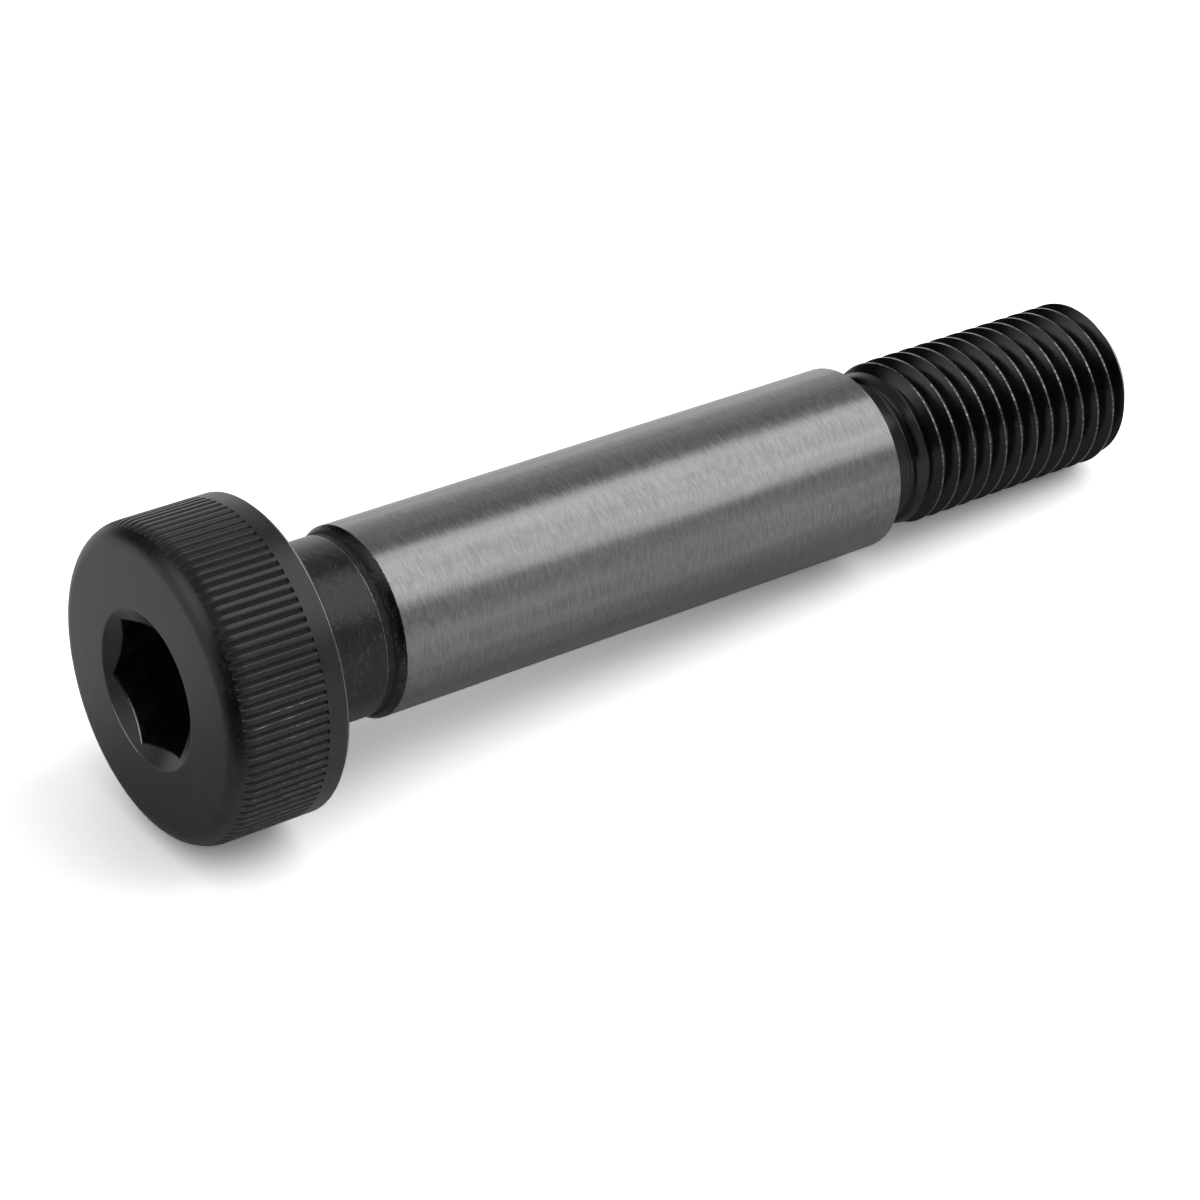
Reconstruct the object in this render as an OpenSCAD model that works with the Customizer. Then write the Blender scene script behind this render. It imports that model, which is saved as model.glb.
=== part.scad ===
// Socket head shoulder bolt with a ground shoulder, a turned neck under the head and a standard
// coarse thread. It is turned from one bar, so it is one solid. It lies as it comes to rest on a
// flat surface: on the rear rim of its head and on the last full crest of its thread.
// The bolt is drawn along +Z, head face at zero, and is laid down at the end.

/* [Head] */
// Diameter over the head
head_d = 36; // [32:0.5:42]
// Height of the head along the axis
head_h = 14; // [13:0.5:20]
// Radius of the rounded front edge
head_round = 2; // [0.5:0.25:3]
// Chamfer of the rear rim
head_chamfer = 0.4; // [0.2:0.1:0.8]

/* [Knurl] */
// Number of grooves round the head
knurl_count = 100; // [60:1:110]
// Width of one groove at the surface
knurl_w = 0.6; // [0.4:0.05:0.8]
// Plain land between the front face and the tips of the grooves
knurl_front = 1.5; // [1:0.1:4]
// Plain band between the grooves and the underside of the head
knurl_rear = 2.7; // [1:0.1:4]

/* [Socket] */
// Width of the hexagon across its flats
socket_af = 14; // [8:1:15]
// Depth of the flats below the head face
socket_depth = 10; // [7:0.5:11]
// Mouth diameter of the countersink
socket_mouth_d = 18; // [17.5:0.25:20]
// Full angle of the countersink
socket_angle = 120; // [100:1:140]
// Depth of the shallow cone at the bottom of the socket
point_depth = 0.5; // [0.2:0.1:2.5]
// Turn of the hexagon about the axis
socket_turn = 47; // [0:1:59]

/* [Neck] */
// Diameter of the neck between the head and the shoulder
neck_d = 20.7; // [19.5:0.1:21]
// Length of the neck
neck_len = 9.8; // [4:0.1:20]
// Radius of the fillet under the head
neck_fillet = 0.6; // [0.3:0.1:1]
// Depth of the undercut between the neck and the lead-in cone
under_depth = 0.15; // [0.05:0.05:0.3]
// Length of the undercut
under_len = 0.9; // [0.6:0.1:2]
// Radius between the undercut and the lead-in cone
under_round = 0.3; // [0.1:0.05:0.4]
// Length of the lead-in cone up to the shoulder
lead_len = 1.1; // [0.5:0.1:4]

/* [Shoulder] */
// Diameter of the ground shoulder
shoulder_d = 22; // [22:0.25:26]
// Length of the ground shoulder
shoulder_len = 70; // [20:1:120]
// Chamfer at the thread end of the shoulder
shoulder_chamfer = 0.3; // [0.1:0.1:0.6]

/* [Thread] */
// Major diameter of the thread
thread_d = 20; // [19.5:0.1:20.5]
// Pitch of the thread
thread_pitch = 2.5; // [2:0.25:2.5]
// Length from the shoulder to the end of the bolt
thread_len = 38.5; // [24:1:60]
// Chamfer at the end of the thread
thread_chamfer = 1.9; // [1:0.1:2.2]
// Distance from the shoulder to a crest, on the line where the turns start
thread_start = 0.6; // [0:0.1:2.4]
// Diameter of the relief beside the shoulder
relief_d = 16.2; // [15:0.1:16.2]
// Length of the relief before the thread rises
relief_len = 1.3; // [1.1:0.1:3]
// Radius of the fillet between the shoulder and the relief
relief_fillet = 0.8; // [0.3:0.1:1]
// Length over which the thread rises to its full height
fade_len = 5.4; // [3:0.1:8]

/* [Rest] */
// Turn of the bolt about its own axis as it lies
roll = 26; // [0:1:359]

/* [Hidden] */

$fn = 128;
// Facets of a groove cutter and of one turn of the thread
groove_facets = 24;
turn_facets = 48;
// Overlap by which a cut clears the surface it starts from
clear = 1;

BLACK_OXIDE = [0.2, 0.2, 0.21];
GROUND_STEEL = [0.62, 0.63, 0.64];

head_r = head_d / 2;
neck_r = neck_d / 2;
under_r = neck_r - under_depth;
shoulder_r = shoulder_d / 2;
thread_r = thread_d / 2;
relief_r = relief_d / 2;
groove_r = knurl_w / 2;

// Stations along the axis, from the face of the head
z_neck = head_h;
z_under = z_neck + neck_len;
z_lead = z_under + under_len;
z_shoulder = z_lead + lead_len;
z_relief = z_shoulder + shoulder_len;
z_fade = z_relief + relief_len;
z_full = z_fade + fade_len;
z_end = z_relief + thread_len;
z_last = z_end - thread_chamfer;

// The 60 degree thread form: sharp height of the V, its sharp crest and its root
v_height = thread_pitch * sqrt(3) / 2;
sharp_r = thread_r + v_height / 8;
root_r = thread_r - v_height * 17 / 24;
crest_w = thread_pitch / 8;
// One pitch of the form, as a share of the pitch and the radius there
form_share = [0, 5 / 12, 7 / 12];
form_r = [sharp_r, root_r, root_r];
form_points = len(form_share);
// The form starts this many turns before the first crest and runs past the end of the bolt
turns_before = 2;
turns = turns_before + ceil(thread_len / thread_pitch) + 2;
column = form_points * turns + 1;
z_form = z_relief + thread_start - turns_before * thread_pitch;

// Where the bolt rests: the rear rim of its head and the last full crest of its thread
z_rim = head_h - head_chamfer;
low_start = z_relief + thread_start - thread_pitch * roll / 360;
crests = floor((z_last - crest_w / 2 - low_start) / thread_pitch);
z_crest = low_start + crests * thread_pitch + crest_w / 2;
tilt = atan((head_r - thread_r) / (z_crest - z_rim));
// Height of the axis at the face of the head, and the reach of the bolt to both ends
face_height = z_rim * sin(tilt) + head_r * cos(tilt);
reach_head = head_round * (cos(tilt) - 1) - (head_r - head_round) * sin(tilt);
reach_thread = z_end * cos(tilt) + (thread_r - thread_chamfer) * sin(tilt);

// Outline of the head, with its rounded front edge and its rear chamfer
module head_outline() {
    polygon([
        [0, 0],
        [head_r - head_round, 0],
        [head_r, head_round],
        [head_r, head_h - head_chamfer],
        [head_r - head_chamfer, head_h],
        [0, head_h]
    ]);
    translate([head_r - head_round, head_round])
        circle(r = head_round);
}

// One groove of the knurl, with a round tip towards the face of the head
module knurl_groove() {
    translate([head_r, 0, knurl_front + groove_r]) {
        cylinder(r = groove_r, h = head_h - knurl_front - knurl_rear - groove_r, $fn = groove_facets);
        sphere(r = groove_r, $fn = groove_facets);
    }
}

// The hexagon socket: countersink, flats, and a shallow cone on which the flats end
module socket() {
    corner_r = socket_af / 2 / cos(30);
    mouth_r = socket_mouth_d / 2;
    slope = tan(socket_angle / 2);
    point_z = socket_depth + point_depth;
    point_slope = socket_af / 2 / point_depth;
    translate([0, 0, -clear]) {
        intersection() {
            rotate([0, 0, socket_turn])
                cylinder(r = corner_r, h = point_z + 2 * clear, $fn = 6);
            cylinder(r1 = (point_z + clear) * point_slope, r2 = 0, h = point_z + clear);
        }
        cylinder(r1 = mouth_r + clear * slope, r2 = 0, h = clear + mouth_r / slope);
    }
}

module head() {
    color(BLACK_OXIDE)
        difference() {
            rotate_extrude() head_outline();
            socket();
            for (i = [0:knurl_count - 1])
                rotate([0, 0, i * 360 / knurl_count])
                    knurl_groove();
        }
}

// Fillet in the corner between a wall at z and the surface of radius r that leaves it
module corner_fillet(r, z, fillet_r) {
    difference() {
        translate([r - clear, z - clear])
            square(clear + fillet_r);
        translate([r + fillet_r, z + fillet_r])
            circle(r = fillet_r);
    }
}

// Round between the floor of the undercut and the lead-in cone, which it meets at both its ends
module lead_round() {
    lead_angle = atan((shoulder_r - under_r) / lead_len);
    reach = under_round * tan(lead_angle / 2);
    top = [under_r + reach * sin(lead_angle), z_lead + reach * cos(lead_angle)];
    difference() {
        polygon([[0, z_lead - reach], [under_r, z_lead - reach], top, [0, top[1]]]);
        translate([under_r + under_round, z_lead - reach])
            circle(r = under_round);
    }
}

// Neck with the fillet under the head, the undercut, and the cone that leads up to the shoulder
module neck_outline() {
    polygon([
        [0, z_neck - clear],
        [neck_r, z_neck - clear],
        [neck_r, z_under],
        [under_r, z_under],
        [under_r, z_lead],
        [shoulder_r, z_shoulder],
        [0, z_shoulder]
    ]);
    corner_fillet(neck_r, z_neck, neck_fillet);
    corner_fillet(under_r, z_under, under_depth);
    lead_round();
}

module neck() {
    color(BLACK_OXIDE)
        rotate_extrude() neck_outline();
}

module shoulder() {
    color(GROUND_STEEL)
        rotate_extrude()
            polygon([
                [0, z_shoulder],
                [shoulder_r, z_shoulder],
                [shoulder_r, z_relief - shoulder_chamfer],
                [shoulder_r - shoulder_chamfer, z_relief],
                [0, z_relief]
            ]);
}

// Relief beside the shoulder, with a fillet in its corner
module relief_outline() {
    polygon([
        [0, z_relief - clear],
        [relief_r, z_relief - clear],
        [relief_r, z_fade + clear],
        [0, z_fade + clear]
    ]);
    corner_fillet(relief_r, z_relief, relief_fillet);
}

// The turned blank of the thread: it rises out of the relief and ends in a chamfer
module thread_blank() {
    rise = (thread_r - relief_r) / fade_len;
    rotate_extrude()
        polygon([
            [0, z_fade - clear],
            [relief_r - rise * clear, z_fade - clear],
            [thread_r, z_full],
            [thread_r, z_last],
            [thread_r - thread_chamfer, z_end],
            [0, z_end]
        ]);
}

// A point of the thread form: facet i of a turn, point k along the axis
function form_point(i, k) =
    let (
        angle = i * 360 / turn_facets,
        r = form_r[k % form_points],
        share = floor(k / form_points) + form_share[k % form_points] + i / turn_facets
    )
    [r * cos(angle), r * sin(angle), z_form + thread_pitch * share];

// The right-hand thread form as one solid: columns of points round the axis, each lifted by its
// share of the pitch, so that the last column meets the first one pitch further on
module thread_form() {
    last = turn_facets - 1;
    foot_centre = turn_facets * column;
    top_centre = foot_centre + 1;
    points = [
        for (i = [0:last]) for (k = [0:column - 1]) form_point(i, k),
        [0, 0, z_form],
        [0, 0, z_form + thread_pitch * (turns + 1)]
    ];
    side = [
        for (i = [0:last])
            let (
                here = i * column,
                next = i < last ? here + column : form_points,
                rows = i < last ? column - 1 : column - 1 - form_points
            )
            for (k = [0:rows - 1])
                each [
                    [here + k, here + k + 1, next + k + 1],
                    [here + k, next + k + 1, next + k]
                ]
    ];
    foot = [
        for (i = [0:last]) i * column,
        for (k = [form_points:-1:1]) k
    ];
    top = [
        for (i = [0:last]) (i + 1) * column - 1,
        for (k = [1:form_points]) turn_facets * column - 1 - k
    ];
    caps = [
        for (j = [0:len(foot) - 1]) [foot_centre, foot[j], foot[(j + 1) % len(foot)]],
        for (j = [0:len(top) - 1]) [top_centre, top[(j + 1) % len(top)], top[j]]
    ];
    polyhedron(points = points, faces = concat(side, caps), convexity = 10);
}

module thread() {
    color(BLACK_OXIDE) {
        rotate_extrude() relief_outline();
        intersection() {
            thread_blank();
            thread_form();
        }
    }
}

module shoulder_bolt() {
    translate([-(reach_head + reach_thread) / 2, 0, face_height])
        rotate([0, 90 + tilt, 0])
            rotate([0, 0, roll]) {
                head();
                neck();
                shoulder();
                thread();
            }
}

shoulder_bolt();
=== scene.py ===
"""Socket head shoulder bolt, lying on a pale floor in soft studio light.

The bolt is modelled in its own frame, in millimetres: Z along the axis from the face of the head,
laid down at the end by the same roll, fall and place as the solid that it stands for.
"""

import logging
import math
from dataclasses import dataclass
from enum import Enum
from typing import Callable, Iterable, Union

import bmesh
import bpy
from mathutils import Matrix, Vector


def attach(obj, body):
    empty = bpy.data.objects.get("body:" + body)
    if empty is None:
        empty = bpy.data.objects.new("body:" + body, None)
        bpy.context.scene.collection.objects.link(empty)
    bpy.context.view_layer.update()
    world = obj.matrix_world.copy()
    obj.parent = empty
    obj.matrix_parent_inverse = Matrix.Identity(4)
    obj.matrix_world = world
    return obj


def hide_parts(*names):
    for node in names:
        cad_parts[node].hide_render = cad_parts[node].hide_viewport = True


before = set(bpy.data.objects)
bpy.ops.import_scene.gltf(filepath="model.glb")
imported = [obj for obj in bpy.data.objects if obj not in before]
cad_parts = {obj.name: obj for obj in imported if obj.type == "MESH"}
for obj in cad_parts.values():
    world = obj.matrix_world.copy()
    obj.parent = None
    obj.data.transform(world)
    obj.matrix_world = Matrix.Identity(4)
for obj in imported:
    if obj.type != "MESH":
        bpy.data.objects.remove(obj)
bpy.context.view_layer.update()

log = logging.getLogger("shoulder_bolt")

MM = 0.001
TURN = 2 * math.pi
BODY = "root"
NODE = "shoulder_bolt"
WEAR = "wear"
ROW = "row"
ROUGH = -1.0
MERGE_WITHIN = 0.002
TINY_EDGE = 0.0005
SHARP_ANGLE = 42.0

Triple = tuple[float, float, float]
Colour = tuple[float, float, float, float]
Placed = tuple[float, float, float, float]
Span = tuple[float, float]
Number = Union[float, "Value"]


class Slot(Enum):
    """Material slots of the record."""

    BLACK_OXIDE = "black_oxide"
    GROUND_STEEL = "ground_steel"


class Form(Enum):
    """Points of the thread's form, by their share of the pitch from the middle of the crest."""

    CREST = 0.0
    EDGE = 1 / 8
    BREAK = 0.2
    FLANK = 0.37
    FOOT = 5 / 12
    ROOT = 1 / 2


@dataclass(frozen=True)
class Row:
    """A point of an outline that is turned about the axis.

    Attributes:
        radius: Distance from the axis.
        z: Distance along the axis.
        wear: How far an edge is rubbed bright there, or ROUGH where the metal is dull and matt.
    """

    radius: float
    z: float
    wear: float = 0.0


def arc(centre: Span, radius: float, start: float, end: float, steps: int) -> list[Row]:
    """Points of a round in an outline.

    Args:
        centre: Radius and z of its centre.
        radius: Its radius.
        start: First angle in degrees, 0 away from the axis and 90 along it.
        end: Last angle in degrees.
        steps: Number of chords.

    Returns:
        The points from the first angle to the last.
    """
    rows = []
    for i in range(steps + 1):
        angle = math.radians(start + (end - start) * i / steps)
        rows.append(Row(centre[0] + radius * math.cos(angle), centre[1] + radius * math.sin(angle)))
    return rows


def highlight_side_share(angle: float, side: float, narrow: float) -> float:
    """Share of an edge's wear at an angle round the axis. The wear is real; its falling off away from one
    side paints a highlight on the side that catches the light.

    Args:
        angle: The angle, in radians.
        side: Where the edge is worn most, which is where its painted highlight is, in degrees.
        narrow: How quickly the wear falls off to both sides.

    Returns:
        The share, 0 to 1.
    """
    return ((1 + math.cos(angle - math.radians(side))) / 2) ** narrow


def shade(colour: Colour, level: float) -> Colour:
    """The colour, made lighter or darker."""
    return tuple(c * level for c in colour[:3]) + (1,)


class Turning:
    """A bmesh in the bolt's own frame, with the wear of its edges and the rows of its outline."""

    def __init__(self) -> None:
        """Starts an empty mesh with its two layers."""
        self.bm = bmesh.new()
        self.wear = self.bm.verts.layers.float.new(WEAR)
        self.row = self.bm.verts.layers.int.new(ROW)

    def spin(self, rows: Iterable[Row], steps: int, turns: int = 1, lift: float = 0.0) -> None:
        """Turns an outline about the axis.

        Args:
            rows: Points of the outline, in order.
            steps: Number of steps in all.
            turns: Number of turns.
            lift: Distance along the axis at each step, for a screw.
        """
        chain = []
        for i, row in enumerate(rows):
            vert = self.bm.verts.new((row.radius, 0, row.z))
            vert[self.wear], vert[self.row] = row.wear, i
            chain.append(vert)
        edges = [self.bm.edges.new(pair) for pair in zip(chain, chain[1:])]
        bmesh.ops.spin(
            self.bm, geom=chain + edges, cent=(0, 0, 0), axis=(0, 0, 1), dvec=(0, 0, lift),
            angle=TURN * turns, steps=steps, use_merge=not lift, use_duplicate=False,
        )

    def reshape(self, columns: int, shape: Callable[[int, int, Vector, float], Placed]) -> None:
        """Moves every vertex to its place on the finished shape.

        Args:
            columns: Number of columns round the axis.
            shape: Gives radius, angle, z and wear from the row, the column, the place and the wear.
        """

        def placed(row: int, spot: Vector, wear: float) -> Placed:
            """Finds the column of a vertex, then its place."""
            column = round(math.atan2(spot.y, spot.x) / TURN * columns) % columns
            return shape(row, column, spot, wear)

        self.rework(placed)

    def rework(self, shape: Callable[[int, Vector, float], Placed]) -> None:
        """Moves every vertex by a function.

        Args:
            shape: Gives radius, angle, z and wear from the row, the place and the wear.
        """
        for vert in self.bm.verts:
            radius, angle, z, wear = shape(vert[self.row], vert.co.copy(), vert[self.wear])
            vert.co = (radius * math.cos(angle), radius * math.sin(angle), z)
            vert[self.wear] = wear

    def finish(self, name: str, lie: Matrix) -> bpy.types.Object:
        """Closes the mesh, lays it down and makes the piece.

        Args:
            name: Name of the piece.
            lie: Where the bolt lies, from its own frame in millimetres.

        Returns:
            The piece, at the origin.
        """
        bm = self.bm
        bmesh.ops.remove_doubles(bm, verts=bm.verts[:], dist=MERGE_WITHIN)
        bmesh.ops.dissolve_degenerate(bm, edges=bm.edges[:], dist=TINY_EDGE)
        bmesh.ops.recalc_face_normals(bm, faces=bm.faces[:])
        for face in bm.faces:
            face.smooth = True
        for edge in bm.edges:
            edge.smooth = edge.is_manifold and edge.calc_face_angle() < math.radians(SHARP_ANGLE)
        bmesh.ops.transform(bm, matrix=lie, verts=bm.verts[:])
        bm.verts.layers.int.remove(self.row)
        mesh = bpy.data.meshes.new(name)
        bm.to_mesh(mesh)
        bm.free()
        piece = bpy.data.objects.new(name, mesh)
        bpy.context.scene.collection.objects.link(piece)
        return piece


class Value:
    """A number on a node's socket, on which expressions add their Math nodes."""

    def __init__(self, graph: "Graph", socket: bpy.types.NodeSocket) -> None:
        """Keeps the socket and the graph that it is in."""
        self.graph = graph
        self.socket = socket

    def __add__(self, other: Number) -> "Value":
        """Sum."""
        return self.graph.maths("ADD", self, other)

    __radd__ = __add__

    def __sub__(self, other: Number) -> "Value":
        """Difference."""
        return self.graph.maths("SUBTRACT", self, other)

    def __rsub__(self, other: Number) -> "Value":
        """Difference from a number."""
        return self.graph.maths("SUBTRACT", other, self)

    def __mul__(self, other: Number) -> "Value":
        """Product."""
        return self.graph.maths("MULTIPLY", self, other)

    __rmul__ = __mul__

    def __truediv__(self, other: Number) -> "Value":
        """Quotient."""
        return self.graph.maths("DIVIDE", self, other)

    def __rtruediv__(self, other: Number) -> "Value":
        """Quotient of a number."""
        return self.graph.maths("DIVIDE", other, self)

    def __abs__(self) -> "Value":
        """Size without its sign."""
        return self.graph.maths("ABSOLUTE", self)


class Graph:
    """The nodes of one material or of the world."""

    def __init__(self, tree: bpy.types.NodeTree) -> None:
        """Empties the tree."""
        self.tree = tree
        tree.nodes.clear()

    def add(self, kind: str, settings: dict[str, object] | None = None,
            inputs: dict[Union[str, int], object] | None = None) -> bpy.types.Node:
        """Adds a node.

        Args:
            kind: Type of the node.
            settings: Its own settings, set first.
            inputs: Values or links of its sockets, by name or number.

        Returns:
            The node.
        """
        node = self.tree.nodes.new(kind)
        for name, value in (settings or {}).items():
            setattr(node, name, value)
        for name, value in (inputs or {}).items():
            if isinstance(value, Value):
                value = value.socket
            if isinstance(value, bpy.types.NodeSocket):
                self.tree.links.new(value, node.inputs[name])
            else:
                node.inputs[name].default_value = value
        return node

    def maths(self, operation: str, *terms: Number) -> Value:
        """Adds a Math node on values or numbers."""
        node = self.add("ShaderNodeMath", {"operation": operation}, dict(enumerate(terms)))
        return Value(self, node.outputs[0])

    def noise(self, vector: bpy.types.NodeSocket, scale: float, detail: float,
              roughness: float = 0.5) -> Value:
        """Adds a noise, about 0 to 1 round 0.5."""
        inputs = {"Vector": vector, "Scale": scale, "Detail": detail, "Roughness": roughness}
        return Value(self, self.add("ShaderNodeTexNoise", inputs=inputs).outputs[0])

    def step(self, value: Number, low: float, high: float) -> Value:
        """Rises smoothly from 0 at low to 1 at high, or falls where high is the smaller."""
        inputs = {"Value": value, "From Min": low, "From Max": high}
        node = self.add("ShaderNodeMapRange", {"interpolation_type": "SMOOTHSTEP"}, inputs)
        return Value(self, node.outputs[0])

    def stretch(self, vector: bpy.types.NodeSocket, scale: Triple) -> bpy.types.NodeSocket:
        """Scales a place along its three axes."""
        return self.add("ShaderNodeVectorMath", {"operation": "MULTIPLY"}, {0: vector, 1: scale}).outputs[0]

    def along(self, vector: bpy.types.NodeSocket, direction: Triple) -> Value:
        """Length of a vector along a direction."""
        node = self.add("ShaderNodeVectorMath", {"operation": "DOT_PRODUCT"}, {0: vector, 1: direction})
        return Value(self, node.outputs[1])

    def blend(self, factor: Number, first: object, second: object) -> bpy.types.NodeSocket:
        """Mixes two colours."""
        return self.add("ShaderNodeMix", {"data_type": "RGBA"}, {0: factor, 6: first, 7: second}).outputs[2]

    def bump(self, height: Value, distance: float) -> bpy.types.NodeSocket:
        """Turns a height of 0 to 1 into a normal, where 1 stands for a distance in metres."""
        return self.add("ShaderNodeBump", inputs={"Distance": distance, "Height": height}).outputs[0]

    def seen(self) -> Value:
        """1 on the rays that show the surroundings, straight from the camera or through glass."""
        path = self.add("ShaderNodeLightPath")
        return Value(self, path.outputs["Is Camera Ray"]) + Value(self, path.outputs["Is Transmission Ray"])

    def mirrored(self) -> Value:
        """1 on the rays by which metal mirrors the surroundings."""
        return Value(self, self.add("ShaderNodeLightPath").outputs["Is Glossy Ray"])


@dataclass(frozen=True)
class BoltSpace:
    """The bolt's own frame inside a material, in millimetres, read from Object coordinates."""

    graph: Graph
    place: bpy.types.NodeSocket
    z: Value
    wear: Value

    @staticmethod
    def make(graph: Graph, lie: Matrix) -> "BoltSpace":
        """Adds the nodes that turn an Object coordinate back into the bolt's own frame.

        Args:
            graph: The material's nodes.
            lie: Where the bolt lies.

        Returns:
            The place, its station and the wear of the mesh.
        """
        source = graph.add("ShaderNodeTexCoord")
        mapping = graph.add("ShaderNodeMapping", {"vector_type": "TEXTURE"}, {
            "Vector": source.outputs["Object"], "Location": lie.to_translation(),
            "Rotation": lie.to_euler(), "Scale": (MM, MM, MM)})
        place = mapping.outputs[0]
        parts = graph.add("ShaderNodeSeparateXYZ", inputs={0: place})
        attribute = graph.add("ShaderNodeAttribute", {"attribute_name": WEAR})
        z, wear = Value(graph, parts.outputs[2]), Value(graph, attribute.outputs["Fac"])
        return BoltSpace(graph, place, z, wear)

    def noise(self, scale: Triple | float, detail: float, roughness: float = 0.5) -> Value:
        """Adds a noise on the place.

        Args:
            scale: Its scale per millimetre, or one scale for each axis.
            detail: Its number of finer layers.
            roughness: How strong the finer layers are.

        Returns:
            The noise, about 0 to 1 round 0.5.
        """
        if isinstance(scale, tuple):
            return self.graph.noise(self.graph.stretch(self.place, scale), 1, detail, roughness)
        return self.graph.noise(self.place, scale, detail, roughness)

    def swayed(self, scale: float, detail: float, reach: float) -> "BoltSpace":
        """The frame, moved along the axis here and there so that scratches round the axis run aslant.

        Args:
            scale: Scale of the sway, per millimetre.
            detail: Its number of finer layers.
            reach: How far it goes, in millimetres.

        Returns:
            The frame with its place moved.
        """
        sway = self.graph.noise(self.place, scale, detail)
        lengthwise = self.graph.add("ShaderNodeCombineXYZ", inputs={2: sway * reach}).outputs[0]
        moved = self.graph.add("ShaderNodeVectorMath", {"operation": "ADD"}, {0: self.place, 1: lengthwise})
        return BoltSpace(self.graph, moved.outputs[0], self.z, self.wear)


@dataclass(frozen=True)
class BlackOxide:
    """Black oxide on turned steel: near black, with a dull gloss and edges rubbed to bare metal.

    Attributes:
        name: Name of the material.
        colour: The oxide's own colour.
        bare: Colour of the bare steel.
        roughness: Roughness of the oxide.
        index: Its index of refraction, for the strength of its gloss.
        marks: Share of the turning marks in the relief, the rest of which is grain.
        mark_depth: Depth of the relief, in metres.
        scratched: How bare the marks are scratched.
        patches: Levels of the darkest and the lightest patch of the colour.
        patch_span: Where the patches turn from dark to light. Each span is on a noise of 0 to 1.
        patch_grain: Share of the grain in the patches, the rest of which is cloud.
        cloud_roughness: How much the cloud changes the roughness.
        grain_fineness: How strong the grain's finer layers are.
        mark_scale: Scale of the turning marks, which are finest along the bolt.
        mark_span: Where a mark is a scratch.
        fleck_scale: Scale of the flecks at which the wear of an edge breaks off.
        fleck_span: Where a fleck is bare.
        sway_reach: How far the marks stray along the axis, in millimetres.
        wear_reach: How strongly the wear of the mesh moves the flecks.
        wear_gloss: How much smoother the bare steel is.
        recess_span: Wear of the mesh at which a recess starts to be dull, and where it is dullest.
    """

    name: str
    colour: Colour = (0.0022, 0.0022, 0.0023, 1)
    bare: Colour = (0.25, 0.252, 0.256, 1)
    roughness: float = 0.32
    index: float = 1.48
    marks: float = 0.3
    mark_depth: float = 0.00001
    scratched: float = 0.04
    patches: Span = (0.3, 2.2)
    patch_span: Span = (0.4, 0.6)
    patch_grain: float = 0.6
    cloud_scale: float = 0.35
    cloud_detail: float = 3
    cloud_roughness: float = 0.1
    grain_scale: float = 3.2
    grain_detail: float = 4
    grain_fineness: float = 0.65
    grain_roughness: float = 0.25
    mark_scale: Triple = (0.8, 0.8, 4.4)
    mark_span: Span = (0.56, 0.66)
    fleck_scale: Triple = (3.0, 3.0, 0.96)
    fleck_span: Span = (0.495, 0.575)
    line_detail: float = 3
    line_fineness: float = 0.6
    sway_scale: float = 0.5
    sway_detail: float = 2
    sway_reach: float = 1.6
    wear_reach: float = 0.6
    wear_gloss: float = 0.08
    recess_span: Span = (-0.2, -0.9)
    recess_roughness: float = 0.4

    def material(self, lie: Matrix) -> bpy.types.Material:
        """Makes the material.

        Args:
            lie: Where the bolt lies.

        Returns:
            The material.
        """
        material = bpy.data.materials.new(self.name)
        material.use_nodes = True
        graph = Graph(material.node_tree)
        space = BoltSpace.make(graph, lie)
        cloud = space.noise(self.cloud_scale, self.cloud_detail)
        grain = space.noise(self.grain_scale, self.grain_detail, self.grain_fineness)
        swayed = space.swayed(self.sway_scale, self.sway_detail, self.sway_reach)
        marks = swayed.noise(self.mark_scale, self.line_detail, self.line_fineness)
        flecks = space.noise(self.fleck_scale, self.line_detail, self.line_fineness)
        # Bare flecks where the mesh's wear is high: real wear on edges, which on the head also carries a
        # painted highlight on one side.
        worn = graph.step(flecks + (space.wear - 1) * self.wear_reach, *self.fleck_span)
        bare = graph.maths("MAXIMUM", worn, graph.step(marks, *self.mark_span) * self.scratched)
        patch = graph.step(grain * self.patch_grain + cloud * (1 - self.patch_grain), *self.patch_span)
        darkest, lightest = (shade(self.colour, level) for level in self.patches)
        colour = graph.blend(bare, graph.blend(patch, darkest, lightest), self.bare)
        recess = graph.step(space.wear, *self.recess_span)
        uneven = (grain - 0.5) * self.grain_roughness + (cloud - 0.5) * self.cloud_roughness
        roughness = self.roughness + uneven - worn * self.wear_gloss + recess * self.recess_roughness
        relief = grain * (1 - self.marks) + marks * self.marks
        shader = graph.add("ShaderNodeBsdfPrincipled", inputs={
            "Base Color": colour, "Metallic": bare, "Roughness": roughness, "IOR": self.index,
            "Normal": graph.bump(relief, self.mark_depth)})
        graph.add("ShaderNodeOutputMaterial", inputs={"Surface": shader.outputs[0]})
        return material


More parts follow.
